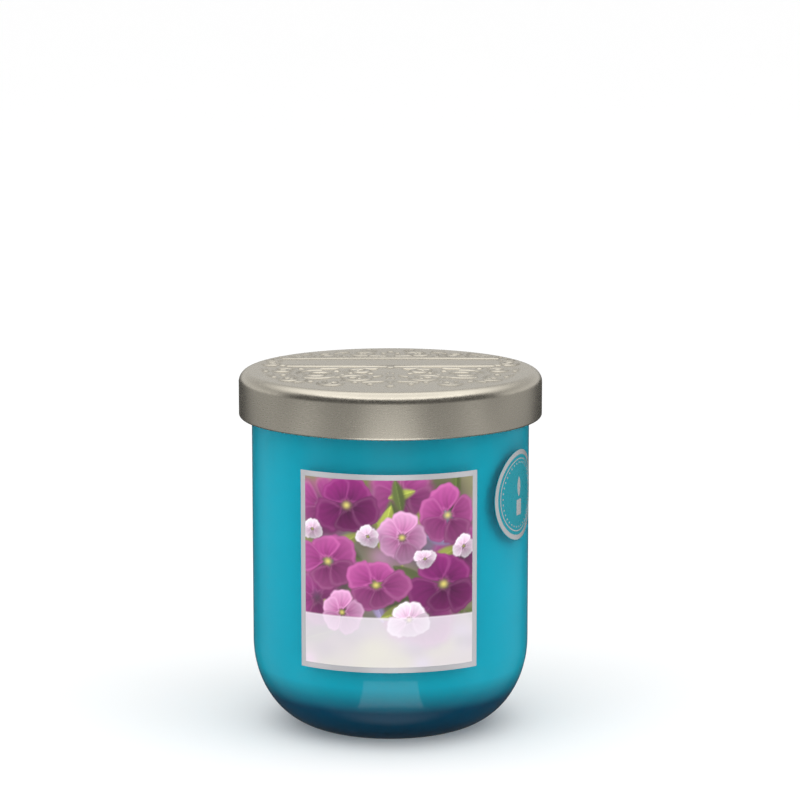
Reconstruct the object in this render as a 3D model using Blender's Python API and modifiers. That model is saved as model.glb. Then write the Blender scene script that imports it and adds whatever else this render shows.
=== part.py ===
"""Scented candle: wax and wick in a round-bottomed glass jar under a pressed metal lid.

The jar stands on its base ring at z = 0, centred on the Z axis. The front label faces -Y.
Lengths are in metres.
"""

import math

import bmesh
import bpy
from mathutils import Vector

MM = 0.001

# Driving dimensions
LID_RADIUS = 35.0 * MM
LID_TOP = 83.1 * MM
LID_HEIGHT = 10.6 * MM
LID_SHEET = 0.5 * MM
LID_SHOULDER = 2.6 * MM
LID_HEM = 0.6 * MM

JAR_RADIUS = 32.05 * MM
JAR_WALL = 3.1 * MM
JAR_FLOOR = 8.0 * MM
JAR_BASE_FLAT = 16.0 * MM
JAR_CORNER_HEIGHT = 20.0 * MM
JAR_INNER_FLAT = 14.5 * MM
JAR_INNER_CORNER_HEIGHT = 16.0 * MM
PUNT_RADIUS = 11.5 * MM
PUNT_DEPTH = 0.7 * MM

WAX_TOP = 72.0 * MM
WAX_CREEP_HEIGHT = 0.5 * MM
WAX_CREEP_WIDTH = 1.6 * MM

WICK_RADIUS = 0.8 * MM
WICK_ABOVE_WAX = 5.0 * MM
WICK_LEAN = 0.9 * MM
SUSTAINER_RADIUS = 7.5 * MM
SUSTAINER_SHEET = 0.4 * MM
SUSTAINER_NECK_WALL = 0.6 * MM
SUSTAINER_NECK_HEIGHT = 5.0 * MM
GLUE_PAD_HEIGHT = 0.8 * MM

INSERT_SHEET = 1.0 * MM
INSERT_RADIUS = 32.5 * MM
PLUG_RADIUS = 27.4 * MM
PLUG_WALL = 1.4 * MM
PLUG_HEIGHT = 6.0 * MM
PLUG_FLANGE = 0.8 * MM
PLUG_FLANGE_HEIGHT = 0.7 * MM
SEAL_RING_HEIGHT = 3.7 * MM
SEAL_FIN_HEIGHT = 0.9 * MM
SEAL_BACK = 0.4 * MM

LABEL_HALF_ANGLE = math.radians(37.9)
LABEL_TURN = math.radians(-0.8)
LABEL_BOTTOM = 19.3 * MM
LABEL_TOP = 64.4 * MM
SEAL_STICKER_RADIUS = 10.5 * MM
SEAL_STICKER_TURN = math.radians(65.5)
SEAL_STICKER_HEIGHT = 56.3 * MM
STICKER_SHEET = 0.2 * MM

GAP = 0.3 * MM  # between pieces that rest on each other
TURN_STEPS = 60
SMALL_TURN_STEPS = 30
MERGE_DISTANCE = 0.00001

# Worked out from the driving dimensions
JAR_INNER_RADIUS = JAR_RADIUS - JAR_WALL
LID_UNDERSIDE = LID_TOP - LID_SHEET
INSERT_TOP = LID_UNDERSIDE - GAP
INSERT_UNDERSIDE = INSERT_TOP - INSERT_SHEET
JAR_TOP = INSERT_UNDERSIDE - GAP
PAD_BOTTOM = JAR_FLOOR + GAP
SUSTAINER_BOTTOM = PAD_BOTTOM + GLUE_PAD_HEIGHT + GAP
SUSTAINER_DISC_TOP = SUSTAINER_BOTTOM + SUSTAINER_SHEET
SUSTAINER_TOP = SUSTAINER_DISC_TOP + SUSTAINER_NECK_HEIGHT
WICK_HOLE = WICK_RADIUS + GAP
SUSTAINER_NECK_RADIUS = WICK_HOLE + SUSTAINER_NECK_WALL


def clear_scene():
    for old in list(bpy.data.objects):
        bpy.data.objects.remove(old, do_unlink=True)


def new_collection(name):
    collection = bpy.data.collections.new(name)
    bpy.context.scene.collection.children.link(collection)
    return collection


def principled(name, colour, roughness, metallic=0.0, transmission=0.0):
    material = bpy.data.materials.new(name)
    material.use_nodes = True
    shader = material.node_tree.nodes["Principled BSDF"]
    shader.inputs["Base Color"].default_value = (*colour, 1.0)
    shader.inputs["Roughness"].default_value = roughness
    shader.inputs["Metallic"].default_value = metallic
    shader.inputs["Transmission Weight"].default_value = transmission
    return material


def arc(centre, radii, start, end, segments):
    """Points of an ellipse's arc in the XZ plane. Angles are in degrees from +X towards +Z."""
    points = []
    for i in range(segments + 1):
        angle = math.radians(start + (end - start) * i / segments)
        points.append((centre[0] + radii[0] * math.cos(angle), centre[1] + radii[1] * math.sin(angle)))
    return points


def turned(name, profile, material, collection, steps=TURN_STEPS):
    """A profile of (radius, height) points turned about Z. One that leaves the axis is closed."""
    outline = bmesh.new()
    verts = [outline.verts.new((radius, 0.0, height)) for radius, height in profile]
    for first, second in zip(verts, verts[1:]):
        outline.edges.new((first, second))
    if profile[0][0] > 0.0:
        outline.edges.new((verts[-1], verts[0]))
    mesh = bpy.data.meshes.new(name)
    outline.to_mesh(mesh)
    outline.free()
    piece = bpy.data.objects.new(name, mesh)
    collection.objects.link(piece)
    screw = piece.modifiers.new("turn", "SCREW")
    screw.axis = "Z"
    screw.angle = math.tau
    screw.steps = steps
    screw.render_steps = steps
    screw.use_merge_vertices = True
    screw.merge_threshold = MERGE_DISTANCE
    screw.use_smooth_shade = True
    mesh.materials.append(material)
    return piece


def wrapped_sheet(name, sheet, turn, height, material, collection):
    """Wraps a flat sheet, drawn in XY, around the jar's wall and gives it the sticker's thickness."""
    radius = JAR_RADIUS + GAP
    for vert in sheet.verts:
        angle = vert.co.x / JAR_RADIUS + turn
        up = vert.co.y + height
        vert.co = (radius * math.sin(angle), -radius * math.cos(angle), up)
    bmesh.ops.recalc_face_normals(sheet, faces=sheet.faces)
    sheet.faces.ensure_lookup_table()
    one = sheet.faces[0]
    outwards = Vector((one.calc_center_median().x, one.calc_center_median().y, 0.0))
    if one.normal.dot(outwards) < 0.0:
        bmesh.ops.reverse_faces(sheet, faces=sheet.faces)
    mesh = bpy.data.meshes.new(name)
    sheet.to_mesh(mesh)
    sheet.free()
    mesh.shade_smooth()
    mesh.materials.append(material)
    piece = bpy.data.objects.new(name, mesh)
    collection.objects.link(piece)
    solidify = piece.modifiers.new("thickness", "SOLIDIFY")
    solidify.thickness = STICKER_SHEET
    solidify.offset = 1.0
    solidify.use_even_offset = True
    return piece


def make_jar(collection):
    """Thick-based tumbler: flat standing ring around a shallow punt, elliptical lower corner."""
    rim = JAR_WALL / 2
    inside = [(0.0, JAR_FLOOR)]
    inside += arc(
        (JAR_INNER_FLAT, JAR_FLOOR + JAR_INNER_CORNER_HEIGHT),
        (JAR_INNER_RADIUS - JAR_INNER_FLAT, JAR_INNER_CORNER_HEIGHT),
        -90, 0, 8,
    )
    top = arc((JAR_RADIUS - rim, JAR_TOP - rim), (rim, rim), 180, 0, 6)
    outside = arc(
        (JAR_BASE_FLAT, JAR_CORNER_HEIGHT),
        (JAR_RADIUS - JAR_BASE_FLAT, JAR_CORNER_HEIGHT),
        0, -90, 9,
    )
    punt = [(PUNT_RADIUS, 0.0), (PUNT_RADIUS * 0.8, PUNT_DEPTH * 0.7), (0.0, PUNT_DEPTH)]
    glass = principled("jar_glass", (0.9, 0.95, 0.96), 0.03, transmission=1.0)
    turned("jar", inside + top + outside + punt, glass, collection)


def make_wax(collection):
    """The poured fill: its top creeps up the wall, its foot leaves room for the wick's holder."""
    radius = JAR_INNER_RADIUS - GAP
    bottom = JAR_FLOOR + GAP
    top = [
        (WICK_HOLE, WAX_TOP),
        (radius - WAX_CREEP_WIDTH, WAX_TOP),
        (radius, WAX_TOP + WAX_CREEP_HEIGHT),
    ]
    outside = arc(
        (JAR_INNER_FLAT, bottom + JAR_INNER_CORNER_HEIGHT),
        (radius - JAR_INNER_FLAT, JAR_INNER_CORNER_HEIGHT),
        0, -90, 8,
    )
    pocket = [
        (SUSTAINER_RADIUS + GAP, bottom),
        (SUSTAINER_RADIUS + GAP, SUSTAINER_DISC_TOP + GAP),
        (SUSTAINER_NECK_RADIUS + GAP, SUSTAINER_DISC_TOP + GAP),
        (SUSTAINER_NECK_RADIUS + GAP, SUSTAINER_TOP + GAP),
        (WICK_HOLE, SUSTAINER_TOP + GAP),
    ]
    wax = principled("teal_wax", (0.0, 0.32, 0.42), 0.5)
    turned("wax", top + outside + pocket, wax, collection)


def make_wick(collection):
    """Cotton wick, straight in the wax and leaning a little at its trimmed end."""
    curve = bpy.data.curves.new("wick", "CURVE")
    curve.dimensions = "3D"
    curve.bevel_depth = WICK_RADIUS
    curve.bevel_resolution = 2
    curve.use_fill_caps = True
    tip = WAX_TOP + WICK_ABOVE_WAX
    points = [
        (0.0, SUSTAINER_BOTTOM),
        (0.0, WAX_TOP + WICK_ABOVE_WAX * 0.2),
        (WICK_LEAN * 0.4, WAX_TOP + WICK_ABOVE_WAX * 0.6),
        (WICK_LEAN, tip),
    ]
    spline = curve.splines.new("POLY")
    spline.points.add(len(points) - 1)
    for point, (x, z) in zip(spline.points, points):
        point.co = (x, 0.0, z, 1.0)
    curve.materials.append(principled("wick_cotton", (0.85, 0.82, 0.75), 0.9))
    collection.objects.link(bpy.data.objects.new("wick", curve))


def make_wick_holder(collection):
    """Tin sustainer with a neck around the wick, on its adhesive pad."""
    tin = principled("tin_plate", (0.75, 0.75, 0.74), 0.3, metallic=1.0)
    profile = [
        (WICK_HOLE, SUSTAINER_TOP),
        (SUSTAINER_NECK_RADIUS, SUSTAINER_TOP),
        (SUSTAINER_NECK_RADIUS, SUSTAINER_DISC_TOP),
        (SUSTAINER_RADIUS, SUSTAINER_DISC_TOP),
        (SUSTAINER_RADIUS, SUSTAINER_BOTTOM),
        (WICK_HOLE, SUSTAINER_BOTTOM),
    ]
    turned("wick_sustainer", profile, tin, collection, SMALL_TURN_STEPS)
    foam = principled("pad_foam", (0.9, 0.9, 0.88), 0.8)
    pad = [
        (0.0, PAD_BOTTOM + GLUE_PAD_HEIGHT),
        (SUSTAINER_RADIUS, PAD_BOTTOM + GLUE_PAD_HEIGHT),
        (SUSTAINER_RADIUS, PAD_BOTTOM),
        (0.0, PAD_BOTTOM),
    ]
    turned("wick_glue_pad", pad, foam, collection, SMALL_TURN_STEPS)


def make_lid_cap(collection):
    """Pressed sheet cap: flat top, round shoulder, straight skirt, edge rolled in to a hem."""
    bottom = LID_TOP - LID_HEIGHT
    shoulder = (LID_RADIUS - LID_SHOULDER, LID_TOP - LID_SHOULDER)
    inner_shoulder = LID_SHOULDER - LID_SHEET
    outside = [(0.0, LID_TOP)] + arc(shoulder, (LID_SHOULDER, LID_SHOULDER), 90, 0, 6)
    hem_end = math.degrees(math.acos((LID_HEM - LID_SHEET) / LID_HEM)) - 360
    hem = arc((LID_RADIUS - LID_HEM, bottom + LID_HEM), (LID_HEM, LID_HEM), 0, hem_end, 8)
    inside = arc(shoulder, (inner_shoulder, inner_shoulder), 0, 90, 4) + [(0.0, LID_UNDERSIDE)]
    nickel = principled("lid_nickel", (0.55, 0.52, 0.46), 0.3, metallic=1.0)
    turned("lid_cap", outside + hem + inside, nickel, collection)


def make_lid_insert(collection):
    """Moulded disc under the cap. Its plug ring goes into the jar's mouth and carries the seal."""
    plug_foot = INSERT_UNDERSIDE - PLUG_HEIGHT
    flange_top = plug_foot + PLUG_FLANGE_HEIGHT
    profile = [
        (0.0, INSERT_TOP),
        (INSERT_RADIUS, INSERT_TOP),
        (INSERT_RADIUS, INSERT_UNDERSIDE),
        (PLUG_RADIUS, INSERT_UNDERSIDE),
        (PLUG_RADIUS, flange_top),
        (PLUG_RADIUS + PLUG_FLANGE, flange_top),
        (PLUG_RADIUS + PLUG_FLANGE, plug_foot),
        (PLUG_RADIUS - PLUG_WALL, plug_foot),
        (PLUG_RADIUS - PLUG_WALL, INSERT_UNDERSIDE),
        (0.0, INSERT_UNDERSIDE),
    ]
    plastic = principled("insert_plastic", (0.85, 0.85, 0.83), 0.4)
    turned("lid_insert", profile, plastic, collection)


def make_lid_seal_ring(collection):
    """Silicone ring on the plug, with two fins that grip the inside of the jar's mouth."""
    foot = INSERT_UNDERSIDE - PLUG_HEIGHT + PLUG_FLANGE_HEIGHT + GAP
    top = foot + SEAL_RING_HEIGHT
    inner = PLUG_RADIUS + GAP
    back = inner + SEAL_BACK
    tip = JAR_INNER_RADIUS - GAP
    profile = [
        (inner, top),
        (back, top),
        (tip, top - SEAL_FIN_HEIGHT / 2),
        (back, top - SEAL_FIN_HEIGHT),
        (back, foot + SEAL_FIN_HEIGHT),
        (tip, foot + SEAL_FIN_HEIGHT / 2),
        (back, foot),
        (inner, foot),
    ]
    silicone = principled("seal_silicone", (0.8, 0.8, 0.8), 0.5)
    turned("lid_seal_ring", profile, silicone, collection)


def make_front_label(collection):
    """Printed label with a metallic border, wrapped on the front of the jar."""
    half_width = LABEL_HALF_ANGLE * JAR_RADIUS
    half_height = (LABEL_TOP - LABEL_BOTTOM) / 2
    sheet = bmesh.new()
    bmesh.ops.create_grid(sheet, x_segments=18, y_segments=2, size=1.0)
    bmesh.ops.scale(sheet, vec=(half_width, half_height, 1.0), verts=sheet.verts)
    middle = (LABEL_TOP + LABEL_BOTTOM) / 2
    paper = principled("label_paper", (0.6, 0.3, 0.5), 0.35)
    wrapped_sheet("front_label", sheet, LABEL_TURN, middle, paper, collection)


def make_seal_sticker(collection):
    """Round clear sticker with metallic print, on the right of the jar."""
    sheet = bmesh.new()
    bmesh.ops.create_circle(sheet, cap_ends=True, segments=36, radius=SEAL_STICKER_RADIUS)
    strips = 10
    for strip in range(1, strips):
        across = SEAL_STICKER_RADIUS * (2 * strip / strips - 1)
        everything = sheet.verts[:] + sheet.edges[:] + sheet.faces[:]
        bmesh.ops.bisect_plane(
            sheet, geom=everything, plane_co=(across, 0.0, 0.0), plane_no=(1.0, 0.0, 0.0)
        )
    film = principled("sticker_film", (0.1, 0.45, 0.5), 0.2)
    wrapped_sheet("seal_sticker", sheet, SEAL_STICKER_TURN, SEAL_STICKER_HEIGHT, film, collection)


def main():
    clear_scene()
    collection = new_collection("jar_candle")
    make_jar(collection)
    make_wax(collection)
    make_wick(collection)
    make_wick_holder(collection)
    make_lid_cap(collection)
    make_lid_insert(collection)
    make_lid_seal_ring(collection)
    make_front_label(collection)
    make_seal_sticker(collection)


main()
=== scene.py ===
"""Scented candle in a round-bottomed glass jar: teal wax, pressed nickel lid, printed label, round seal.

Lengths are in metres. The jar's axis is Z, it stands at z = 0, and the front label faces -Y.
"""

import math

import bpy
import numpy as np
from bpy.props import FloatProperty, FloatVectorProperty, IntProperty, PointerProperty
from bpy.types import Operator, Panel, PropertyGroup
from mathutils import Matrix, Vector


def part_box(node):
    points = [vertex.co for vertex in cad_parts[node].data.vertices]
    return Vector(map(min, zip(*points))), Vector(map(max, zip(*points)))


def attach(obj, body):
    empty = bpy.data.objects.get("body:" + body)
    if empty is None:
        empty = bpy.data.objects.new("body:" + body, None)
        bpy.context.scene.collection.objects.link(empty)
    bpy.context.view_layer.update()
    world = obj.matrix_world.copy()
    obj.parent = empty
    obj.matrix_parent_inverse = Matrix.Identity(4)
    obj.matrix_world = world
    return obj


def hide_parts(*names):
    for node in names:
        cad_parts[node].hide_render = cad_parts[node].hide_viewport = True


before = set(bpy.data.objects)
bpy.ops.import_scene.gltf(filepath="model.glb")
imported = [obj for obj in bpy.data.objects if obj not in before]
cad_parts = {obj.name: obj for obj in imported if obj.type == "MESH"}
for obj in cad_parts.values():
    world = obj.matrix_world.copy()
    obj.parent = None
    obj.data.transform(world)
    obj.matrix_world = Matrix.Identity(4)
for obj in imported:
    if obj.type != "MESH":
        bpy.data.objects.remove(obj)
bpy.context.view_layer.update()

bl_info = {
    "name": "Jar Candle",
    "version": (1, 0, 0),
    "blender": (4, 5, 0),
    "location": "View3D > Sidebar > Candle",
    "description": "Builds a scented candle in a glass jar, piece by piece",
    "category": "Add Mesh",
}

MM = 0.001
MERGE = 0.00001
STICKER_LIFT = 0.02 * MM

# Sizes that the frame fixes
JAR_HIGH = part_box("jar")[1]
LID_LOW, LID_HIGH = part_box("lid_cap")
LABEL_LOW, LABEL_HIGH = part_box("front_label")
SEAL_LOW, SEAL_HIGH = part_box("seal_sticker")
SUSTAINER_LOW, SUSTAINER_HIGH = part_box("wick_sustainer")
JAR_RADIUS = JAR_HIGH.x
JAR_TOP = JAR_HIGH.z
LID_RADIUS = LID_HIGH.x
LID_TOP = LID_HIGH.z
LID_BOTTOM = LID_LOW.z
WAX_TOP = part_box("wax")[1].z
LABEL_MIDDLE = (LABEL_LOW.z + LABEL_HIGH.z) / 2
LABEL_HEIGHT = LABEL_HIGH.z - LABEL_LOW.z
SEAL_MIDDLE = (SEAL_LOW.z + SEAL_HIGH.z) / 2
SEAL_RADIUS = (SEAL_HIGH.z - SEAL_LOW.z) / 2


def from_screen(red, green, blue):
    """A colour of 0 to 255 per channel, as a screen shows it, made linear."""
    shares = (channel / 255 for channel in (red, green, blue))
    return tuple(s / 12.92 if s <= 0.04045 else ((s + 0.055) / 1.055) ** 2.4 for s in shares)


def colour_property(name, description, default):
    return FloatVectorProperty(
        name=name, description=description, subtype="COLOR", size=3, min=0.0, max=1.0, default=default
    )


def length_property(name, description, default):
    return FloatProperty(
        name=name, description=description, subtype="DISTANCE", unit="LENGTH", default=default
    )


def angle_property(name, description, default):
    return FloatProperty(
        name=name, description=description, subtype="ANGLE", unit="ROTATION", default=default
    )


class JarSettings(PropertyGroup):
    """Glass jar"""

    wall: length_property("Wall", "Thickness of the glass wall", 3.1 * MM)
    floor: length_property("Floor", "Thickness of the glass under the wax", 4.5 * MM)
    base_flat: length_property("Base flat", "Radius where the rounded base meets the ground", 16.0 * MM)
    corner_height: length_property("Corner height", "Height of the rounded base", 20.0 * MM)
    inner_flat: length_property("Inner flat", "Radius of the flat floor inside", 15.5 * MM)
    inner_corner: length_property("Inner corner", "Height of the rounding inside", 17.5 * MM)
    punt_radius: length_property("Punt radius", "Radius of the hollow under the base", 11.5 * MM)
    punt_depth: length_property("Punt depth", "Depth of the hollow under the base", 0.7 * MM)
    steps: IntProperty(name="Steps", description="Faces around the jar", default=144, min=24)
    tint: colour_property("Tint", "Colour of the clear glass", (0.97, 0.99, 0.99))


class WaxSettings(PropertyGroup):
    """Dyed wax"""

    contact: length_property("Contact", "How far the wax is taken into the glass, to wet it", 0.06 * MM)
    creep_height: length_property("Creep", "How far the wax creeps up the wall", 0.5 * MM)
    body: colour_property("Wax", "Colour of the dyed wax", from_screen(0, 186, 212))
    cloud: colour_property("Cloud", "Colour of the paler frosting in the wax", from_screen(0, 192, 217))
    # Painted shade: the colour that the wax darkens to over the thick base, standing in for its unlit
    # underside seen through the glass
    deep: colour_property("Deep", "Colour of the wax over the thick base", from_screen(0, 76, 106))


class LidSettings(PropertyGroup):
    """Pressed lid"""

    sheet: length_property("Sheet", "Thickness of the metal", 0.5 * MM)
    shoulder: length_property("Shoulder", "Radius of the edge around the top", 2.6 * MM)
    hem: length_property("Hem", "Radius of the rolled lower edge", 0.6 * MM)
    relief: length_property("Relief", "Height of the pressed ornament", 0.25 * MM)
    relief_slope: length_property("Relief slope", "Width of the ornament's sloping sides", 0.42 * MM)
    ring_step: length_property("Ring step", "Distance between rings of faces on the top", 0.3 * MM)
    steps: IntProperty(name="Steps", description="Faces around the lid", default=640, min=48)
    metal: colour_property("Metal", "Colour of the nickel plate", from_screen(247, 239, 222))
    roughness: FloatProperty(name="Roughness", description="Roughness of the satin plate", default=0.27)


class LabelSettings(PropertyGroup):
    """Front label"""

    half_angle: angle_property("Half angle", "Half of the label's sweep around the jar", math.radians(37.9))
    turn: angle_property("Turn", "Turn of the label's middle from the front", math.radians(-0.8))
    border: length_property("Border", "Width of the foil border", 1.25 * MM)
    foil: length_property("Foil", "Thickness of the foil sheet", 0.06 * MM)
    print_sheet: length_property("Print", "Thickness of the printed face", 0.05 * MM)
    dot_pitch: length_property("Dot pitch", "Distance between the print's coloured points", 0.19 * MM)
    caption_height: length_property("Caption", "Height of the pale caption band", 11.3 * MM)
    metal: colour_property("Foil colour", "Colour of the silver foil", from_screen(226, 226, 230))


class SealSettings(PropertyGroup):
    """Round seal"""

    turn: angle_property("Turn", "Turn of the seal's middle from the front", math.radians(65.5))
    film: length_property("Film", "Thickness of the film", 0.06 * MM)
    ink: length_property("Ink", "Thickness of the metallic print", 0.04 * MM)
    ring: length_property("Ring", "Width of the outer ring", 1.1 * MM)
    field: colour_property("Field", "Colour of the film over the wax", from_screen(0, 132, 146))
    metal: colour_property("Metal", "Colour of the metallic print", from_screen(214, 216, 218))


class StageSettings(PropertyGroup):
    """Floor, lights and camera"""

    distance: length_property("Distance", "Camera to the jar's middle", 700.5 * MM)
    aim_height: length_property("Aim height", "Height that the camera circles", 39.1 * MM)
    elevation: angle_property("Elevation", "Angle of the camera above the level", math.radians(12.49))
    pitch: angle_property("Pitch", "Downward tilt of the camera", math.radians(9.522))
    yaw: angle_property("Yaw", "Turn of the camera to the right", math.radians(0.185))
    lens: FloatProperty(name="Lens", description="Focal length in millimetres", default=135.0)
    floor: colour_property("Floor", "Colour of the floor", (0.95, 0.95, 0.95))


# Modelling helpers


def select_nothing():
    if bpy.context.object and bpy.context.object.mode != "OBJECT":
        bpy.ops.object.mode_set(mode="OBJECT")
    bpy.ops.object.select_all(action="DESELECT")


def choose(piece):
    """Makes the piece the active one and the only selected one."""
    select_nothing()
    piece.select_set(True)
    bpy.context.view_layer.objects.active = piece


def edit(piece):
    """Opens the piece in edit mode with everything selected."""
    choose(piece)
    bpy.ops.object.mode_set(mode="EDIT")
    bpy.ops.mesh.select_all(action="SELECT")


def leave_edit():
    bpy.ops.object.mode_set(mode="OBJECT")


def apply_modifiers(piece):
    choose(piece)
    for modifier in list(piece.modifiers):
        bpy.ops.object.modifier_apply(modifier=modifier.name)


def apply_place(piece):
    choose(piece)
    bpy.ops.object.transform_apply(location=True, rotation=True, scale=True)


def arc(centre, radii, start, end, segments):
    """Points of an ellipse's arc in the XZ plane. Angles are in degrees from +X towards +Z."""
    angles = [math.radians(start + (end - start) * i / segments) for i in range(segments + 1)]
    return [(centre[0] + radii[0] * math.cos(a), centre[1] + radii[1] * math.sin(a)) for a in angles]


def turned(name, profile, steps):
    """Spins a profile of (radius, height) points about Z. One that leaves the axis is closed."""
    select_nothing()
    bpy.ops.mesh.primitive_plane_add(size=MM)
    piece = bpy.context.object
    piece.name = name
    edit(piece)
    bpy.ops.mesh.merge(type="CENTER")
    outline = profile + [profile[0]] if profile[0][0] > 0 else profile
    bpy.ops.transform.translate(value=(outline[0][0], 0, outline[0][1]))
    for (x, z), (next_x, next_z) in zip(outline, outline[1:]):
        bpy.ops.mesh.extrude_region_move(TRANSFORM_OT_translate={"value": (next_x - x, 0, next_z - z)})
    bpy.ops.mesh.select_all(action="SELECT")
    bpy.ops.mesh.spin(steps=steps, angle=math.tau, center=(0, 0, 0), axis=(0, 0, 1))
    bpy.ops.mesh.select_all(action="SELECT")
    bpy.ops.mesh.remove_doubles(threshold=MERGE)
    bpy.ops.mesh.normals_make_consistent(inside=False)
    leave_edit()
    bpy.ops.object.shade_smooth_by_angle(angle=math.radians(40))
    return piece


def flat_sheet(name, width, height, across, up):
    """A grid in the XZ plane that faces -Y, centred on the origin."""
    select_nothing()
    bpy.ops.mesh.primitive_grid_add(
        x_subdivisions=across, y_subdivisions=up, size=1.0, rotation=(math.radians(90), 0, 0)
    )
    piece = bpy.context.object
    piece.name = name
    piece.scale = (width, height, 1.0)
    apply_place(piece)
    return piece


def thickened(piece, thickness):
    """Gives a sheet that faces -Y its thickness, on the side that it faces."""
    solid = piece.modifiers.new("thickness", "SOLIDIFY")
    solid.thickness = thickness
    solid.offset = 1.0
    apply_modifiers(piece)


def wrapped(piece, lift, turn, height):
    """Bends a flat piece around the jar's wall, with its back at that distance from the glass."""
    radius = JAR_RADIUS + lift
    across = [v.co.x for v in piece.data.vertices]
    bend = piece.modifiers.new("bend", "SIMPLE_DEFORM")
    bend.deform_method = "BEND"
    bend.deform_axis = "Z"
    bend.angle = (max(across) - min(across)) / radius
    apply_modifiers(piece)
    edit(piece)
    bpy.ops.transform.translate(value=(0, -radius, height))
    leave_edit()
    piece.rotation_euler.z = turn
    apply_place(piece)


def dress(piece, material):
    piece.data.materials.clear()
    piece.data.materials.append(material)


def finish_piece(piece, material, node):
    """Dresses a piece, makes it ride on the candle's one body and stand for its CAD node."""
    dress(piece, material)
    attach(piece, "root")
    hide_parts(node)


# Material helpers


class Shader:
    """A material's node tree, with short ways to add and join nodes."""

    def __init__(self, name):
        self.material = bpy.data.materials.new(name)
        self.material.use_nodes = True
        self.nodes = self.material.node_tree.nodes
        self.links = self.material.node_tree.links
        self.surface = self.nodes["Principled BSDF"]
        self.output = self.nodes["Material Output"]
        self.place = self.nodes.new("ShaderNodeTexCoord").outputs["Object"]

    def set(self, **values):
        for key, value in values.items():
            socket = self.surface.inputs[key.replace("_", " ")]
            socket.default_value = (*value, 1.0) if isinstance(value, tuple) and len(value) == 3 else value

    def noise(self, scale, detail=3.0, stretch=(1, 1, 1)):
        mapping = self.nodes.new("ShaderNodeMapping")
        mapping.inputs["Scale"].default_value = stretch
        self.links.new(self.place, mapping.inputs["Vector"])
        noise = self.nodes.new("ShaderNodeTexNoise")
        noise.inputs["Scale"].default_value = scale
        noise.inputs["Detail"].default_value = detail
        self.links.new(mapping.outputs["Vector"], noise.inputs["Vector"])
        return noise.outputs["Fac"]

    def levels(self, factor, low, high, new_low, new_high):
        """Maps a value from one range to another, held at both ends."""
        levels = self.nodes.new("ShaderNodeMapRange")
        for key, value in (("From Min", low), ("From Max", high), ("To Min", new_low), ("To Max", new_high)):
            levels.inputs[key].default_value = value
        self.links.new(factor, levels.inputs["Value"])
        return levels.outputs["Result"]

    def mix(self, factor, first, second):
        """Mixes two colours, each a socket or three numbers."""
        mix = self.nodes.new("ShaderNodeMix")
        mix.data_type = "RGBA"
        self.links.new(factor, mix.inputs["Factor"])
        for key, value in (("A", first), ("B", second)):
            socket = [s for s in mix.inputs if s.name == key and s.type == "RGBA"][0]
            if isinstance(value, bpy.types.NodeSocket):
                self.links.new(value, socket)
            else:
                socket.default_value = (*value, 1.0)
        return [s for s in mix.outputs if s.type == "RGBA"][0]

    def height(self):
        """How high a point lies, in metres."""
        split = self.nodes.new("ShaderNodeSeparateXYZ")
        self.links.new(self.place, split.inputs["Vector"])
        return split.outputs["Z"]

    def feed(self, key, socket):
        self.links.new(socket, self.surface.inputs[key])

    def roughen(self, scale, low, high):
        """Lets the roughness wander between two values."""
        self.feed("Roughness", self.levels(self.noise(scale, 2.0), 0.3, 0.7, low, high))

    def bump(self, height, distance, strength=1.0):
        bump = self.nodes.new("ShaderNodeBump")
        bump.inputs["Distance"].default_value = distance
        bump.inputs["Strength"].default_value = strength
        self.links.new(height, bump.inputs["Height"])
        self.links.new(bump.outputs["Normal"], self.surface.inputs["Normal"])

    def let_lamps_through(self, tint):
        """Lamps light what is behind the glass as if it were not there."""
        clear = self.nodes.new("ShaderNodeBsdfTransparent")
        clear.inputs["Color"].default_value = (*tint, 1.0)
        path = self.nodes.new("ShaderNodeLightPath")
        mix = self.nodes.new("ShaderNodeMixShader")
        self.links.new(path.outputs["Is Shadow Ray"], mix.inputs["Fac"])
        self.links.new(self.surface.outputs["BSDF"], mix.inputs[1])
        self.links.new(clear.outputs["BSDF"], mix.inputs[2])
        self.links.new(mix.outputs["Shader"], self.output.inputs["Surface"])


# Finishes


def clear_glass(tint):
    """Pressed clear glass with the faint waves of its mould."""
    shader = Shader("clear_glass")
    shader.set(Base_Color=tuple(tint), Transmission_Weight=1.0, IOR=1.45)
    waves = shader.noise(60.0, 1.0, (1, 1, 0.5))
    shader.bump(waves, 0.04 * MM, 0.5)
    shader.roughen(900.0, 0.0, 0.03)
    shader.let_lamps_through(tuple(tint))
    return shader.material


def dyed_wax(settings):
    """Teal wax, faintly clouded, with painted shade that darkens it towards the thick base."""
    shader = Shader("dyed_wax")
    clouds = shader.levels(shader.noise(55.0, 4.0), 0.35, 0.7, 0.0, 1.0)
    tone = shader.mix(clouds, tuple(settings.body), tuple(settings.cloud))
    # Painted shade: below these heights the wax is blended towards the deep colour, full at the lower and
    # gone at the upper
    full_shade_height = 9.0 * MM
    no_shade_height = 15.0 * MM
    depth = shader.levels(shader.height(), full_shade_height, no_shade_height, 0.0, 1.0)
    shader.feed("Base Color", shader.mix(depth, tuple(settings.deep), tone))
    shader.roughen(400.0, 0.45, 0.6)
    shader.set(Specular_IOR_Level=0.05)
    shader.bump(shader.noise(700.0, 3.0), 0.05 * MM, 0.3)
    return shader.material


def satin_nickel(settings):
    """Warm satin nickel plate with a fine grain."""
    shader = Shader("satin_nickel")
    metal = tuple(settings.metal)
    darker = tuple(channel * 0.9 for channel in metal)
    grain = shader.noise(900.0, 3.0, (1, 1, 4))
    shader.feed("Base Color", shader.mix(shader.noise(140.0, 3.0), darker, metal))
    shader.set(Metallic=1.0)
    low = settings.roughness - 0.04
    shader.feed("Roughness", shader.levels(grain, 0.3, 0.7, low, low + 0.1))
    shader.bump(grain, 0.01 * MM, 0.5)
    return shader.material


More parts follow.
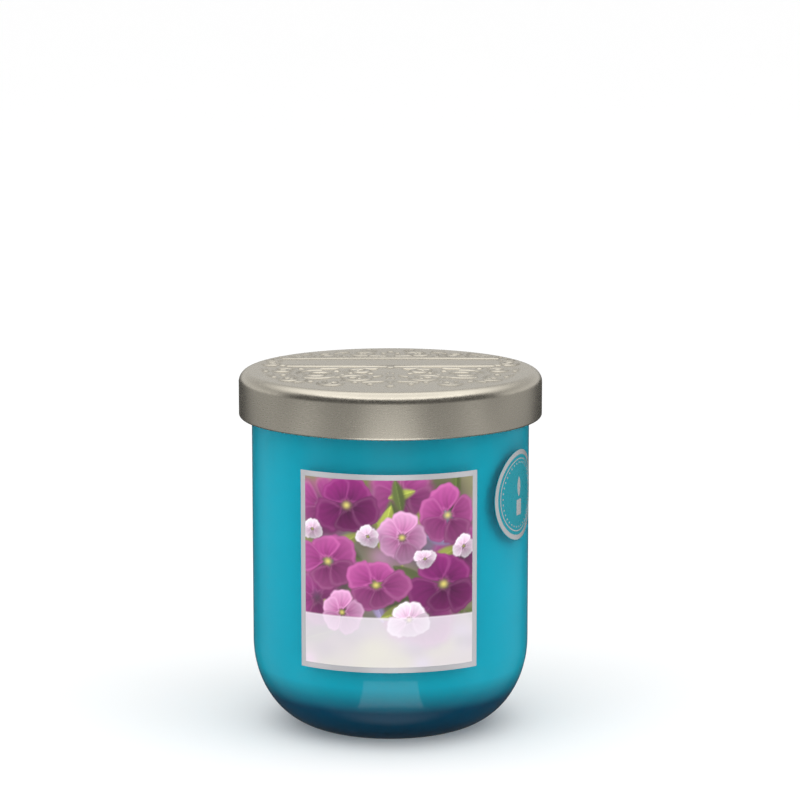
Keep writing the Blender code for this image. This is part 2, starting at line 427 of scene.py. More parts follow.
def silver_foil(name, colour):
    """Bright silver foil or ink with a faint orange-peel."""
    shader = Shader(name)
    shader.set(Base_Color=tuple(colour), Metallic=0.6)
    shader.roughen(500.0, 0.08, 0.16)
    shader.bump(shader.noise(300.0, 2.0), 0.01 * MM, 0.4)
    return shader.material


def printed_paper():
    """Semi-gloss paper that shows the print's colours."""
    shader = Shader("printed_paper")
    ink = shader.nodes.new("ShaderNodeVertexColor")
    ink.layer_name = "print"
    shader.feed("Base Color", ink.outputs["Color"])
    shader.roughen(800.0, 0.38, 0.5)
    shader.bump(shader.noise(1500.0, 2.0), 0.01 * MM, 0.2)
    return shader.material


def sticker_film(colour):
    """Glossy film over the wax's colour."""
    shader = Shader("sticker_film")
    base = tuple(colour)
    paler = tuple(min(1.0, channel * 1.12) for channel in base)
    shader.feed("Base Color", shader.mix(shader.noise(120.0, 2.0), base, paler))
    shader.roughen(600.0, 0.25, 0.35)
    return shader.material


def braided_cotton():
    """Off-white cotton with a diagonal twist."""
    shader = Shader("braided_cotton")
    twist = shader.nodes.new("ShaderNodeTexWave")
    twist.bands_direction = "DIAGONAL"
    twist.inputs["Scale"].default_value = 500.0
    twist.inputs["Distortion"].default_value = 1.0
    shader.links.new(shader.place, twist.inputs["Vector"])
    shade = from_screen(196, 188, 168)
    light = from_screen(238, 234, 222)
    shader.feed("Base Color", shader.mix(twist.outputs["Fac"], shade, light))
    shader.set(Roughness=0.85)
    shader.bump(twist.outputs["Fac"], 0.1 * MM)
    return shader.material


def plain_finish(name, light, shade, roughness, metallic=0.0, scale=300.0):
    """A moulded, cast or plated finish with slight mottling and a fine grain."""
    shader = Shader(name)
    shader.feed("Base Color", shader.mix(shader.noise(scale, 3.0), shade, light))
    shader.set(Metallic=metallic)
    shader.roughen(scale * 3, roughness - 0.05, roughness + 0.05)
    shader.bump(shader.noise(scale * 4, 2.0), 0.02 * MM, 0.3)
    return shader.material


# Pieces


class CANDLE_OT_jar(Operator):
    """Turn the glass jar with its thick rounded base"""

    bl_idname = "candle.jar"
    bl_label = "Jar"

    def execute(self, context):
        s = context.scene.candle_jar
        rim = s.wall / 2
        inner = JAR_RADIUS - s.wall
        inner_corner = (s.inner_flat, s.floor + s.inner_corner)
        profile = [(0.0, s.floor)]
        profile += arc(inner_corner, (inner - s.inner_flat, s.inner_corner), -90, 0, 24)
        profile += arc((JAR_RADIUS - rim, JAR_TOP - rim), (rim, rim), 180, 0, 16)
        outer_corner = (s.base_flat, s.corner_height)
        profile += arc(outer_corner, (JAR_RADIUS - s.base_flat, s.corner_height), 0, -90, 40)
        profile += [(s.punt_radius, 0.0), (s.punt_radius * 0.9, s.punt_depth * 0.5)]
        profile += [(s.punt_radius * 0.75, s.punt_depth * 0.85), (0.0, s.punt_depth)]
        piece = turned("glass_jar", profile, s.steps)
        finish_piece(piece, clear_glass(s.tint), "jar")
        return {"FINISHED"}


class CANDLE_OT_wax(Operator):
    """Pour the wax: it wets the glass, creeps up the wall and leaves a pocket for the wick's holder"""

    bl_idname = "candle.wax"
    bl_label = "Wax"

    def execute(self, context):
        s = context.scene.candle_wax
        jar = context.scene.candle_jar
        radius = JAR_RADIUS - jar.wall + s.contact
        foot = jar.floor - s.contact
        creep = 1.6 * MM
        gap = 0.3 * MM
        level = WAX_TOP - s.creep_height
        wick_hole = 1.1 * MM
        neck = 2.0 * MM
        disc = SUSTAINER_HIGH.x + gap
        disc_top = SUSTAINER_LOW.z + 0.7 * MM
        profile = [(wick_hole, level - gap), (wick_hole + 0.5 * MM, level - 0.05 * MM)]
        profile += [(radius * share, level) for share in (0.1, 0.3, 0.5, 0.7)]
        profile += arc((radius - creep, WAX_TOP), (creep, s.creep_height), -90, 0, 8)
        corner = (jar.inner_flat, foot + jar.inner_corner)
        profile += arc(corner, (radius - jar.inner_flat, jar.inner_corner), 0, -90, 32)
        profile += [(disc, foot), (disc, disc_top), (neck, disc_top)]
        neck_top = SUSTAINER_HIGH.z + gap
        profile += [(neck, neck_top), (wick_hole, neck_top)]
        piece = turned("wax_fill", profile, jar.steps)
        finish_piece(piece, dyed_wax(s), "wax")
        return {"FINISHED"}


class CANDLE_OT_wick(Operator):
    """Finish the wick, its sustainer and the adhesive pad"""

    bl_idname = "candle.wick"
    bl_label = "Wick and holder"

    def execute(self, context):
        cotton = braided_cotton()
        tin = plain_finish("tin_plate", from_screen(222, 221, 218), from_screen(190, 189, 186), 0.28, 1.0)
        foam = plain_finish("pad_foam", from_screen(238, 237, 232), from_screen(216, 215, 208), 0.8)
        for node, material in (("wick", cotton), ("wick_sustainer", tin), ("wick_glue_pad", foam)):
            dress(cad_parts[node], material)
        return {"FINISHED"}


def spiral(middle, start_radius, end_radius, start, sweep, width, tip=0.35, points=40):
    """A tapering volute. Angles are in degrees. Returns its line and its half width along it."""
    line = []
    widths = []
    for i in range(points):
        share = i / (points - 1)
        angle = math.radians(start + sweep * share)
        radius = start_radius + (end_radius - start_radius) * share
        line.append((middle[0] + radius * math.cos(angle), middle[1] + radius * math.sin(angle)))
        widths.append(width * (tip + (1 - tip) * math.sin(math.pi * (0.25 + 0.6 * share))))
    return line, widths


def bead(middle, radius, points=9):
    """A round boss, as a short line whose width follows a circle."""
    places = [math.cos(math.pi * i / (points - 1)) for i in range(points)]
    line = [(middle[0] - radius * p, middle[1]) for p in places]
    return line, [max(0.02 * MM, radius * math.sqrt(max(0.0, 1 - p * p))) for p in places]


def leaf(start, length, direction, width, curl=0.0, points=16):
    """A teardrop leaf that bends by curl degrees along its length."""
    line = [start]
    for i in range(1, points):
        angle = math.radians(direction + curl * i / points)
        x, y = line[-1]
        line.append((x + length / points * math.cos(angle), y + length / points * math.sin(angle)))
    shares = [min(1.0, 0.04 + 0.96 * i / (points - 1)) for i in range(points)]
    return line, [max(width * math.sin(math.pi * share**0.7), 0.03 * MM) for share in shares]


def scrollwork():
    """The lid's ornament: volutes, leaves and beads around a bare band, the same left and right."""
    half = []

    def add(stroke):
        half.append(stroke)

    def place(x, y):
        return (x * MM, y * MM)

    # Front panel: a large volute, its branch, and smaller scrolls towards the middle
    add(spiral(place(16.5, -8.0), 6.6 * MM, 1.0 * MM, 95, -640, 0.62 * MM))
    add(spiral(place(8.0, -13.5), 4.4 * MM, 0.8 * MM, 20, 560, 0.5 * MM))
    add(spiral(place(7.2, -3.2), 3.4 * MM, 0.7 * MM, -60, 500, 0.45 * MM))
    add(spiral(place(24.6, -2.0), 3.2 * MM, 0.6 * MM, 200, -520, 0.42 * MM))
    add(spiral(place(23.0, -14.5), 3.0 * MM, 0.6 * MM, 120, 480, 0.42 * MM))
    add(spiral(place(13.0, -20.6), 3.2 * MM, 0.6 * MM, 60, -480, 0.42 * MM))
    add(leaf(place(2.0, -9.4), 5.0 * MM, -20, 0.8 * MM, -50))
    add(leaf(place(1.6, -17.8), 5.4 * MM, 10, 0.85 * MM, -60))
    add(leaf(place(11.4, -16.0), 4.8 * MM, -75, 0.75 * MM, 50))
    add(leaf(place(19.6, -15.0), 5.0 * MM, -95, 0.75 * MM, 60))
    add(leaf(place(27.4, -6.6), 4.6 * MM, -80, 0.7 * MM, -40))
    add(leaf(place(3.0, 0.8), 4.6 * MM, -10, 0.7 * MM, 40))
    add(leaf(place(12.0, 1.2), 4.6 * MM, 0, 0.65 * MM, -30))
    add(leaf(place(29.4, 1.6), 3.6 * MM, -110, 0.6 * MM, 30))
    for x, y, r in (
        (4.6, -6.4, 0.6), (12.4, -3.0, 0.55), (20.6, 0.4, 0.6), (24.4, -8.4, 0.6), (18.0, -17.6, 0.55),
        (4.6, -21.4, 0.6), (8.0, -18.8, 0.5), (28.6, -3.0, 0.5), (11.0, -8.6, 0.5), (26.4, -11.4, 0.5),
    ):
        add(bead(place(x, y), r * MM))
    # Back panel: a row of smaller scrolls along the edge
    add(spiral(place(6.4, 22.4), 3.8 * MM, 0.7 * MM, 210, -540, 0.48 * MM))
    add(spiral(place(15.2, 21.0), 3.6 * MM, 0.7 * MM, 150, 520, 0.46 * MM))
    add(spiral(place(22.6, 17.2), 2.8 * MM, 0.6 * MM, 200, -500, 0.4 * MM))
    add(spiral(place(4.8, 28.2), 2.0 * MM, 0.5 * MM, 240, 460, 0.38 * MM))
    add(leaf(place(1.2, 19.4), 4.4 * MM, 40, 0.7 * MM, -70))
    add(leaf(place(10.0, 26.2), 4.6 * MM, -20, 0.7 * MM, -40))
    add(leaf(place(18.8, 23.4), 4.4 * MM, -40, 0.65 * MM, -20))
    add(leaf(place(26.0, 14.4), 3.8 * MM, -70, 0.6 * MM, -20))
    for x, y, r in (
        (10.8, 19.0, 0.55), (19.0, 18.0, 0.5), (1.7, 24.4, 0.5), (12.4, 25.6, 0.45), (26.2, 18.4, 0.45),
    ):
        add(bead(place(x, y), r * MM))
    # The band's edges, with a scroll where they end
    for y, bow in ((5.4, -0.7), (15.6, 0.9)):
        for reach, half_width, step in ((25.5, 0.34, 0.0), (24.0, 0.2, math.copysign(1.1, bow))):
            line = [place(reach * i / 24, y + bow * (1 - (i / 24) ** 2) + step) for i in range(25)]
            add((line, [half_width * MM] * 25))
    add(spiral(place(27.4, 8.0), 2.6 * MM, 0.6 * MM, -110, 430, 0.4 * MM))
    add(spiral(place(27.0, 13.0), 2.2 * MM, 0.5 * MM, 110, -430, 0.38 * MM))
    whole = list(half)
    for line, widths in half:
        whole.append(([(-x, y) for x, y in line], widths))
    # On the middle line
    for y, r in ((-6.4, 0.75), (-13.2, 0.9), (-24.0, 0.8), (2.6, 0.6), (26.6, 0.6), (18.0, 0.6)):
        whole.append(bead(place(0.0, y), r * MM))
    whole.append(leaf(place(0.0, -14.8), 5.6 * MM, -90, 0.9 * MM))
    whole.append(leaf(place(0.0, -11.8), 4.6 * MM, 90, 0.8 * MM))
    whole.append(leaf(place(0.0, 19.2), 5.0 * MM, 90, 0.8 * MM))
    return whole


def ornament_guide(strokes):
    """The ornament as flat ribbons, level with the lid's top."""
    curve = bpy.data.curves.new("ornament_guide", "CURVE")
    curve.dimensions = "3D"
    curve.extrude = 1.0
    for line, widths in strokes:
        spline = curve.splines.new("POLY")
        spline.points.add(len(line) - 1)
        for point, (x, y), width in zip(spline.points, line, widths):
            point.co = (x, y, LID_TOP, 1.0)
            point.radius = width
            point.tilt = math.radians(90)
    guide = bpy.data.objects.new("ornament_guide", curve)
    bpy.context.scene.collection.objects.link(guide)
    choose(guide)
    bpy.ops.object.convert(target="MESH")
    return guide


class CANDLE_OT_lid(Operator):
    """Press the lid: a flat top with scroll ornament, a round shoulder, a skirt and a rolled hem"""

    bl_idname = "candle.lid"
    bl_label = "Lid"

    def execute(self, context):
        s = context.scene.candle_lid
        flat = LID_RADIUS - s.shoulder
        rings = round(flat / s.ring_step)
        centre = (flat, LID_TOP - s.shoulder)
        profile = [(flat * i / rings, LID_TOP) for i in range(rings)]
        profile += arc(centre, (s.shoulder, s.shoulder), 90, 0, 14)
        hem_end = math.degrees(math.acos((s.hem - s.sheet) / s.hem)) - 360
        profile += arc((LID_RADIUS - s.hem, LID_BOTTOM + s.hem), (s.hem, s.hem), 0, hem_end, 14)
        inner = s.shoulder - s.sheet
        profile += arc(centre, (inner, inner), 0, 90, 6) + [(0.0, LID_TOP - s.sheet)]
        piece = turned("lid_shell", profile, s.steps)
        top = piece.vertex_groups.new(name="relief")
        edge = flat - s.relief_slope
        outer = [v for v in piece.data.vertices if v.co.z > LID_TOP - MERGE]
        raised = [v.index for v in outer if v.co.xy.length < edge]
        top.add(raised, 1.0, "REPLACE")
        guide = ornament_guide(scrollwork())
        near = piece.modifiers.new("near ornament", "VERTEX_WEIGHT_PROXIMITY")
        near.vertex_group = "relief"
        near.target = guide
        near.proximity_mode = "GEOMETRY"
        near.proximity_geometry = {"FACE"}
        near.min_dist = s.relief_slope
        near.max_dist = 0.0
        near.falloff_type = "SMOOTH"
        press = piece.modifiers.new("press", "DISPLACE")
        press.direction = "Z"
        press.mid_level = 0.0
        press.strength = s.relief
        press.vertex_group = "relief"
        apply_modifiers(piece)
        bpy.data.objects.remove(guide, do_unlink=True)
        piece.vertex_groups.clear()
        finish_piece(piece, satin_nickel(s), "lid_cap")
        return {"FINISHED"}


class CANDLE_OT_lid_fittings(Operator):
    """Finish the lid's moulded insert and its silicone seal ring"""

    bl_idname = "candle.lid_fittings"
    bl_label = "Lid insert and seal ring"

    def execute(self, context):
        plastic = plain_finish("insert_plastic", from_screen(236, 235, 230), from_screen(222, 221, 215), 0.42)
        silicone = plain_finish("seal_silicone", from_screen(226, 229, 230), from_screen(206, 210, 212), 0.5)
        for node, material in (("lid_insert", plastic), ("lid_seal_ring", silicone)):
            dress(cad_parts[node], material)
        return {"FINISHED"}


# The label's print


def smooth_step(low, high, value):
    share = np.clip((value - low) / (high - low), 0.0, 1.0)
    return share * share * (3 - 2 * share)


class Print:
    """Layers of ink at the points of a sheet. x and y are in millimetres from the sheet's middle."""

    def __init__(self, x, y):
        self.x = x
        self.y = y
        self.ink = np.zeros((len(x), 3))
        self.random = np.random.default_rng(7)
        self.shadow = from_screen(62, 30, 62)

    def lay(self, colour, cover):
        """Lays a colour, one for all or one for each point, over what is there."""
        self.ink += (np.asarray(colour) - self.ink) * cover[:, None]

    def wash(self, colour, middle, size, strength):
        """A soft round blur of colour."""
        gap = ((self.x - middle[0]) / size[0]) ** 2 + ((self.y - middle[1]) / size[1]) ** 2
        self.lay(colour, strength * np.exp(-gap))

    def petal(self, root, direction, length, width, dark, light, soft):
        """One petal from its root. It is dark at the throat, paler towards a frilled rim, with veins."""
        turn = math.radians(direction)
        dx = self.x - root[0]
        dy = self.y - root[1]
        near = dx * dx + dy * dy < (1.4 * length) ** 2
        dx = dx[near]
        dy = dy[near]
        along = (dx * math.cos(turn) + dy * math.sin(turn)) / length
        across = (-dx * math.sin(turn) + dy * math.cos(turn)) / width
        fan = np.arctan2(across, along + 0.02)
        frill = 0.06
        ripple = 1 + frill * np.sin(fan * 9 + direction) + frill * 0.5 * np.sin(fan * 21 + direction * 2)
        spread = 0.5 * np.clip(along + 0.35, 0.05, 1.0)
        reach = np.sqrt(((along - 0.58) / 0.44) ** 2 + (across / spread) ** 2) / ripple
        edge = soft / length * 2
        cover = 1 - smooth_step(1 - edge, 1 + edge, reach)
        rise = np.clip(along, 0, 1)[:, None]
        tone = np.asarray(dark) * (1 - rise) + np.asarray(light) * rise
        lines = 0.5 + 0.5 * np.sin(fan * 26 + 3 * np.sin(along * 5 + direction))
        tone = tone * (1 - 0.16 * (lines * np.clip(1.2 - along, 0, 1))[:, None])
        sheen = np.exp(-((reach - 0.86) / 0.1) ** 2)[:, None]
        tone = tone + (np.asarray(light) * 1.15 + 0.06 - tone) * 0.45 * sheen
        fold = np.exp(-(across / 0.07) ** 2) * np.clip(1 - along, 0, 1)
        tone = tone * (1 - 0.25 * fold[:, None])
        part = self.ink[near]
        part += (np.clip(tone, 0, 1) - part) * cover[:, None]
        self.ink[near] = part

    def blossom(self, middle, radius, turn, dark, light, soft=0.25, eye=None):
        """An open flower seen a little from the side, with a soft shadow behind it."""
        petals = 5
        squash = 0.85
        below = (middle[0] + radius * 0.08, middle[1] - radius * 0.12)
        self.wash(self.shadow, below, (radius * 0.95, radius * 0.8), 0.75)
        for i in range(petals):
            direction = turn + 360 * i / petals + 9 * math.sin(i * 1.7 + turn)
            lit = 0.86 + 0.3 * math.cos(math.radians(direction - 115))
            size = radius * (1 - (1 - squash) * abs(math.sin(math.radians(direction))))
            size *= 1 + 0.12 * math.sin(i * 2.3 + turn)
            shades = (np.asarray(dark) * lit, np.clip(np.asarray(light) * lit, 0, 1))
            self.petal(middle, direction, size, radius * 1.02, *shades, soft)
        if eye is not None:
            self.wash(eye, middle, (radius * 0.1, radius * 0.09), 0.9)

    def leaf(self, root, direction, length, width, colour, soft=0.3):
        """A pointed leaf with a pale rib and one darker side."""
        turn = math.radians(direction)
        dx = self.x - root[0]
        dy = self.y - root[1]
        along = (dx * math.cos(turn) + dy * math.sin(turn)) / length
        across = (-dx * math.sin(turn) + dy * math.cos(turn)) / width
        shape = np.abs(across) - np.sin(math.pi * np.clip(along, 0, 1)) ** 0.8
        edge = soft / width
        cover = (1 - smooth_step(-edge, edge, shape)) * (along > 0) * (along < 1)
        rib = np.exp(-(across / 0.12) ** 2)
        side = 0.85 + 0.3 * (across > 0)
        tone = np.asarray(colour)[None] * side[:, None] * (1 + 0.35 * rib[:, None])
        self.ink += (np.clip(tone, 0, 1) - self.ink) * cover[:, None]


def paint_meadow(x, y, half_width, half_height, caption):
    """A garden of simple open blossoms, out of focus behind and sharp in front, over a pale band."""
    sheet = Print(x, y)
    magenta = from_screen(150, 34, 122)
    deep = from_screen(108, 18, 92)
    rose = from_screen(188, 84, 156)
    pale = from_screen(222, 164, 206)
    white = from_screen(240, 228, 238)
    lilac = from_screen(176, 164, 208)
    moss = from_screen(96, 112, 54)
    lime = from_screen(170, 182, 74)
    shade = from_screen(74, 66, 62)
    sun = from_screen(228, 214, 112)
    sheet.ink[:] = from_screen(150, 146, 108)
    for i in range(110):
        colour = (moss, lime, lilac, moss, shade, lime, pale)[i % 7]
        middle = (
            sheet.random.uniform(-half_width, half_width),
            sheet.random.uniform(-half_height, half_height),
        )
        size = sheet.random.uniform(1.6, 4.2)
        sheet.wash(colour, middle, (size, size * 0.8), 0.75)
    # Out of focus
    for x0, y0, radius, turn in (
        (-15, 15, 8, 10), (3, 18, 8, 50), (17, 4, 8, 20), (-17, -6, 7, 70), (8, -10, 8, 35),
    ):
        sheet.blossom((x0, y0), radius, turn, magenta, rose, soft=1.6)
    for root_x, root_y, direction in (
        (-6, 3, 150), (12, 12, 60), (-12, -13, 200), (18, -9, -30), (2, 8, 100),
    ):
        sheet.leaf((root_x, root_y), direction, 9.0, 1.8, moss, 0.8)
    for i in range(26):
        root = (sheet.random.uniform(-20, 20), sheet.random.uniform(-12, 20))
        turn = sheet.random.uniform(0, 360)
        length = sheet.random.uniform(5.0, 9.0)
        sheet.leaf(root, turn, length, length * 0.17, (lime, moss, lilac)[i % 3], 0.5)
    # In focus, from back to front
    sheet.blossom((13.5, 13.0), 7.4, 18, magenta, rose, eye=sun)
    sheet.blossom((-9.5, 15.5), 7.8, 60, deep, magenta, eye=sun)
    sheet.leaf((-2.0, 6.0), 75, 10.0, 1.7, lime)
    sheet.leaf((1.0, 2.0), -35, 11.0, 1.9, moss)
    sheet.blossom((3.0, 8.4), 6.2, 5, rose, pale, eye=sun)
    sheet.blossom((-14.0, 2.4), 7.6, 34, magenta, rose, eye=sun)
    sheet.leaf((6.5, -7.0), 200, 9.0, 1.6, lime)
    sheet.blossom((12.6, -2.6), 8.4, 48, deep, magenta, eye=sun)
    sheet.blossom((-2.8, -2.4), 7.0, 80, magenta, rose, eye=sun)
    sheet.blossom((-10.6, -9.0), 5.4, 12, rose, pale, eye=sun)
    sheet.blossom((4.6, -10.4), 5.0, 60, pale, white, eye=sun)
    for x0, y0, radius, turn in (
        (17.6, 5.6, 3.0, 0), (-4.6, 8.6, 2.8, 30), (-18.0, 9.4, 2.8, 60), (8.2, 3.4, 2.6, 15),
    ):
        sheet.blossom((x0, y0), radius, turn, pale, white, eye=lime, soft=0.2)
    # Pale caption band
    top = -half_height + caption
    band = 1 - smooth_step(-0.1, 0.1, y - top)
    sheet.lay(from_screen(240, 232, 242), 0.68 * band)
    hairline = np.exp(-((y - top) / 0.16) ** 2)
    sheet.lay(white, 0.6 * hairline)
    return np.clip(sheet.ink, 0, 1)


class CANDLE_OT_label(Operator):
    """Wrap the foil sheet and the printed face of the front label on the jar"""

    bl_idname = "candle.label"
    bl_label = "Front label"

    def execute(self, context):
        s = context.scene.candle_label
        width = 2 * s.half_angle * JAR_RADIUS
        foil = flat_sheet("label_foil", width, LABEL_HEIGHT, across=96, up=24)
        thickened(foil, s.foil)
        wrapped(foil, STICKER_LIFT, s.turn, LABEL_MIDDLE)
        finish_piece(foil, silver_foil("silver_foil", s.metal), "front_label")
        print_width = width - 2 * s.border
        print_height = LABEL_HEIGHT - 2 * s.border
        across = round(print_width / s.dot_pitch)
        up = round(print_height / s.dot_pitch)
        face = flat_sheet("label_print", print_width, print_height, across, up)
        places = np.empty(len(face.data.vertices) * 3)
        face.data.vertices.foreach_get("co", places)
        places = places.reshape(-1, 3) / MM
        ink = paint_meadow(
            places[:, 0], places[:, 2], print_width / MM / 2, print_height / MM / 2, s.caption_height / MM
        )
        colours = face.data.color_attributes.new("print", "FLOAT_COLOR", "POINT")
        colours.data.foreach_set("color", np.column_stack([ink, np.ones(len(ink))]).ravel())
        thickened(face, s.print_sheet)
        wrapped(face, STICKER_LIFT + s.foil, s.turn, LABEL_MIDDLE)
        finish_piece(face, printed_paper(), "front_label")
        return {"FINISHED"}


def flat_disc(name, radius, middle=(0.0, 0.0), rings=1, segments=96, hole=0.0):
    """A disc in the XZ plane that faces -Y, in concentric rings, or a ring if it has a hole."""
    select_nothing()
    bpy.ops.mesh.primitive_circle_add(
        vertices=segments, radius=radius, fill_type="NGON", rotation=(math.radians(90), 0, 0)
    )
    piece = bpy.context.object
    piece.name = name
    edit(piece)
    step = (radius - hole) / rings if hole else radius / (rings + 1)
    for _ in range(rings):
        bpy.ops.mesh.inset(thickness=step)
    if hole:
        bpy.ops.mesh.delete(type="FACE")
    bpy.ops.mesh.select_all(action="SELECT")
    bpy.ops.transform.translate(value=(middle[0], 0, middle[1]))
    leave_edit()
    apply_place(piece)
    return piece


def joined(pieces):
    select_nothing()
    for piece in pieces:
        piece.select_set(True)
    bpy.context.view_layer.objects.active = pieces[0]
    bpy.ops.object.join()
    return pieces[0]


class CANDLE_OT_seal(Operator):
    """Wrap the round seal's film on the jar and lay its metallic rings, beads and flame on it"""

    bl_idname = "candle.seal"
    bl_label = "Round seal"

    def execute(self, context):
        s = context.scene.candle_seal
        film = flat_disc("seal_film", SEAL_RADIUS, rings=12)
        thickened(film, s.film)
        wrapped(film, STICKER_LIFT, s.turn, SEAL_MIDDLE)
        finish_piece(film, sticker_film(s.field), "seal_sticker")
        edge = SEAL_RADIUS - 0.15 * MM
        marks = [flat_disc("seal_print", edge, rings=3, hole=edge - s.ring)]
        inner = edge - s.ring - 0.8 * MM
        marks.append(flat_disc("inner_ring", inner, rings=1, hole=inner - 0.25 * MM))
        bead_circle = inner - 1.0 * MM
        for i in range(36):
            angle = math.tau * i / 36
            middle = (bead_circle * math.cos(angle), bead_circle * math.sin(angle))
            marks.append(flat_disc("bead", 0.22 * MM, middle, rings=1, segments=12))
        marks += self.candle_mark()
        ink = joined(marks)
        thickened(ink, s.ink)
        wrapped(ink, STICKER_LIFT + s.film, s.turn, SEAL_MIDDLE)
        finish_piece(ink, silver_foil("seal_silver", s.metal), "seal_sticker")
        return {"FINISHED"}

    def candle_mark(self):
        """A plain flame over a short pillar, drawn as flat shapes."""
        flame = flat_disc("flame", 1.5 * MM, rings=2, segments=48)
        for vert in flame.data.vertices:
            share = min(1.0, max(0.0, (vert.co.z / MM + 1.5) / 3.0))
            vert.co.x *= 0.72 * (1 - share) ** 0.35 * (0.55 + 0.9 * share)
            vert.co.z = (-0.4 + 4.6 * share) * MM
        pillar = flat_sheet("pillar", 2.6 * MM, 3.6 * MM, 6, 2)
        for vert in pillar.data.vertices:
            vert.co.z -= 2.9 * MM
        return [flame, pillar]


class Room:
    """The world's node tree, with short ways to add and join nodes."""

    def __init__(self):
        world = bpy.data.worlds.new("studio")
        bpy.context.scene.world = world
        world.use_nodes = True
        self.nodes = world.node_tree.nodes
        self.links = world.node_tree.links
        self.background = self.nodes["Background"]
        self.split = self.nodes.new("ShaderNodeSeparateXYZ")
        direction = self.nodes.new("ShaderNodeTexCoord").outputs["Generated"]
        self.links.new(direction, self.split.inputs["Vector"])

    def fill(self, socket, value):
        """Links a socket to another, or sets it to a number or a colour."""
        if isinstance(value, bpy.types.NodeSocket):
            self.links.new(value, socket)
        else:
            socket.default_value = (*value, 1.0) if isinstance(value, tuple) else value

    def math_node(self, operation, *values):
        node = self.nodes.new("ShaderNodeMath")
        node.operation = operation
        for socket, value in zip(node.inputs, values):
            self.fill(socket, value)
        return node.outputs["Value"]

    def ramp(self, value, stops):
        """A grey ramp through (place, level) stops."""
        node = self.nodes.new("ShaderNodeValToRGB")
        elements = node.color_ramp.elements
        while len(elements) < len(stops):
            elements.new(0.5)
        for element, (place, level) in zip(elements, stops):
            element.position = place
            element.color = (level, level, level, 1.0)
        self.links.new(value, node.inputs["Fac"])
        return node.outputs["Color"]

    def blend(self, factor, first, second):
        """Mixes two colours, each a socket or three numbers."""
        node = self.nodes.new("ShaderNodeMix")
        node.data_type = "RGBA"
        for key, value in ((0, factor), (6, first), (7, second)):
            self.fill(node.inputs[key], value)
        return node.outputs[2]


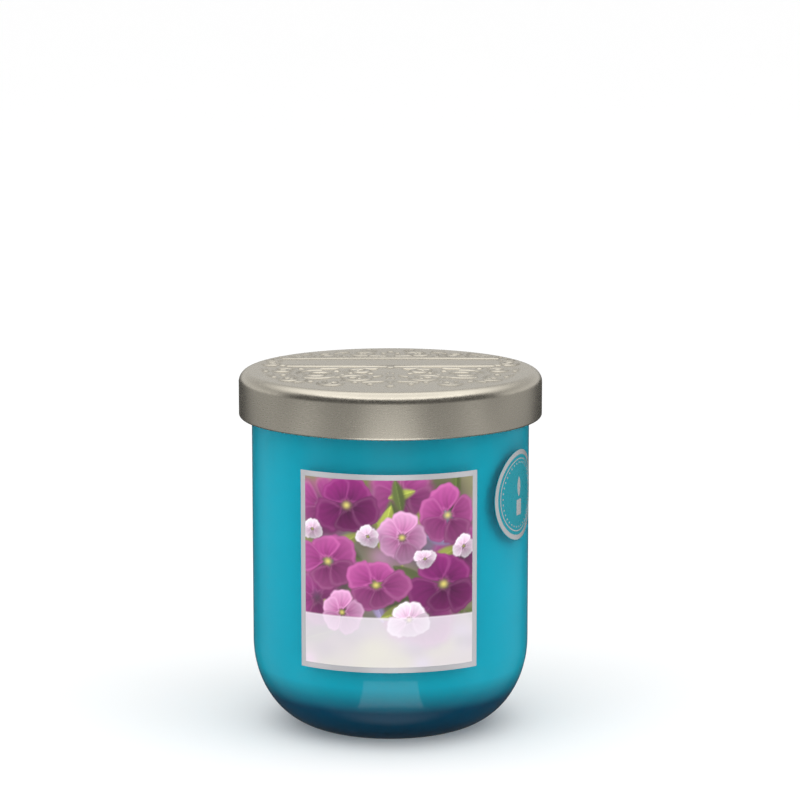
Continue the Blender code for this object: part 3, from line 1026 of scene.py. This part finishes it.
class CANDLE_OT_stage(Operator):
    """Set the floor, the soft studio light and the camera"""

    bl_idname = "candle.stage"
    bl_label = "Stage"

    def execute(self, context):
        s = context.scene.candle_stage
        self.lay_floor(s)
        self.light_room()
        self.place_camera(context, s)
        context.scene.view_settings.view_transform = "Standard"
        return {"FINISHED"}

    def lay_floor(self, s):
        select_nothing()
        bpy.ops.mesh.primitive_plane_add(size=14.0)
        floor = bpy.context.object
        floor.name = "floor"
        floor.visible_glossy = False
        colour = tuple(s.floor)
        floor.data.materials.append(plain_finish("floor_card", colour, colour, 0.9, scale=2.0))

    def light_room(self):
        """A white room. What polished surfaces mirror is set apart from what lights the candle."""
        room = Room()
        room.links.new(self.room_colour(room), room.background.inputs["Color"])
        turn = (math.radians(20), 0, 0)
        self.add_lamp("overhead", "SUN", (0, 0, 2), turn, 1.0, math.radians(80))
        turn = (math.radians(72), 0, math.radians(68))
        self.add_lamp("right_soft_box", "AREA", (0.7, -0.28, 0.3), turn, 1.3, 0.5)
        turn = (math.radians(72), 0, math.radians(-55))
        self.add_lamp("left_soft_box", "AREA", (-0.62, -0.44, 0.3), turn, 1.2, 0.5)

    def room_colour(self, room):
        """White to the eye, a little less as a light, and a pattern of cards in a mirror."""
        room_light = (0.79, 0.79, 0.79)
        mirror_strength = 1.35
        height = room.math_node("MULTIPLY_ADD", room.split.outputs["Z"], 0.5, 0.5)
        aside = room.math_node("ABSOLUTE", room.split.outputs["X"])
        # In front: upright cards below, a dark gap, then the soft box overhead
        cards = ((0.0, 0.36), (0.2, 0.33), (0.45, 0.18), (0.7, 0.19), (0.9, 0.3), (1.0, 0.16))
        cards = room.ramp(aside, cards)
        front_high = room.ramp(height, ((0.5, 0.1), (0.58, 0.05), (0.85, 0.06), (0.89, 1.0), (1.0, 0.6)))
        is_high = room.ramp(height, ((0.47, 0.0), (0.52, 1.0)))
        window = room.ramp(height, ((0.06, 0.0), (0.08, 1.0), (0.26, 1.0), (0.28, 0.0)))
        window = room.math_node("MULTIPLY", window, room.ramp(aside, ((0.34, 1.0), (0.36, 0.0))))
        cards = room.blend(window, cards, (0.95, 0.95, 0.95))
        front = room.blend(is_high, cards, front_high)
        # Behind: dark below, beige grey just above the level, brighter overhead
        back_low = room.ramp(aside, ((0.55, 0.04), (0.8, 0.2), (0.95, 0.22)))
        back_high = ((0.5, 0.12), (0.535, 0.42), (0.62, 0.36), (0.75, 0.24))
        back_high = room.ramp(height, (*back_high, (0.85, 0.5), (0.93, 0.8), (1.0, 0.6)))
        back = room.blend(room.ramp(height, ((0.5, 0.0), (0.53, 1.0))), back_low, back_high)
        is_back = room.math_node("MULTIPLY_ADD", room.split.outputs["Y"], 5.0, 0.5)
        is_back.node.use_clamp = True
        boosted = room.nodes.new("ShaderNodeVectorMath")
        boosted.operation = "SCALE"
        boosted.inputs["Scale"].default_value = mirror_strength
        room.links.new(room.blend(is_back, front, back), boosted.inputs[0])
        path = room.nodes.new("ShaderNodeLightPath")
        plain = room.blend(path.outputs["Is Camera Ray"], room_light, (1.0, 1.0, 1.0))
        return room.blend(path.outputs["Is Glossy Ray"], plain, boosted.outputs["Vector"])

    def add_lamp(self, name, kind, location, rotation, power, size):
        bpy.ops.object.light_add(type=kind, location=location, rotation=rotation)
        lamp = bpy.context.object
        lamp.name = name
        lamp.data.energy = power
        if kind == "SUN":
            lamp.data.angle = size
        else:
            lamp.data.size = size
        lamp.visible_glossy = False

    def place_camera(self, context, s):
        back = s.distance * math.cos(s.elevation)
        up = s.aim_height + s.distance * math.sin(s.elevation)
        turn = (math.radians(90) - s.pitch, 0, -s.yaw)
        bpy.ops.object.camera_add(location=(0, -back, up), rotation=turn)
        camera = context.object
        camera.data.lens = s.lens
        camera.data.clip_start = 0.01
        camera.data.clip_end = 50.0
        context.scene.camera = camera


class CANDLE_PT_pieces(Panel):
    """Lists the candle's pieces in the sidebar"""

    bl_label = "Jar Candle"
    bl_idname = "CANDLE_PT_pieces"
    bl_space_type = "VIEW_3D"
    bl_region_type = "UI"
    bl_category = "Candle"

    def draw(self, context):
        for operator in OPERATORS:
            self.layout.operator(operator.bl_idname)
        for name in SETTINGS:
            settings = getattr(context.scene, name)
            box = self.layout.box()
            box.label(text=settings.__doc__ or name)
            for key in settings.__annotations__:
                box.prop(settings, key)


OPERATORS = (
    CANDLE_OT_jar,
    CANDLE_OT_wax,
    CANDLE_OT_wick,
    CANDLE_OT_lid,
    CANDLE_OT_lid_fittings,
    CANDLE_OT_label,
    CANDLE_OT_seal,
    CANDLE_OT_stage,
)
SETTINGS = {
    "candle_jar": JarSettings,
    "candle_wax": WaxSettings,
    "candle_lid": LidSettings,
    "candle_label": LabelSettings,
    "candle_seal": SealSettings,
    "candle_stage": StageSettings,
}


def register():
    for group in SETTINGS.values():
        bpy.utils.register_class(group)
    for operator in OPERATORS:
        bpy.utils.register_class(operator)
    bpy.utils.register_class(CANDLE_PT_pieces)
    for name, group in SETTINGS.items():
        setattr(bpy.types.Scene, name, PointerProperty(type=group))


def unregister():
    for name in SETTINGS:
        delattr(bpy.types.Scene, name)
    bpy.utils.unregister_class(CANDLE_PT_pieces)
    for operator in reversed(OPERATORS):
        bpy.utils.unregister_class(operator)
    for group in SETTINGS.values():
        bpy.utils.unregister_class(group)


def main():
    register()
    bpy.ops.candle.stage()
    bpy.ops.candle.jar()
    bpy.ops.candle.wax()
    bpy.ops.candle.wick()
    bpy.ops.candle.lid()
    bpy.ops.candle.lid_fittings()
    bpy.ops.candle.label()
    bpy.ops.candle.seal()


if __name__ == "__main__":
    main()
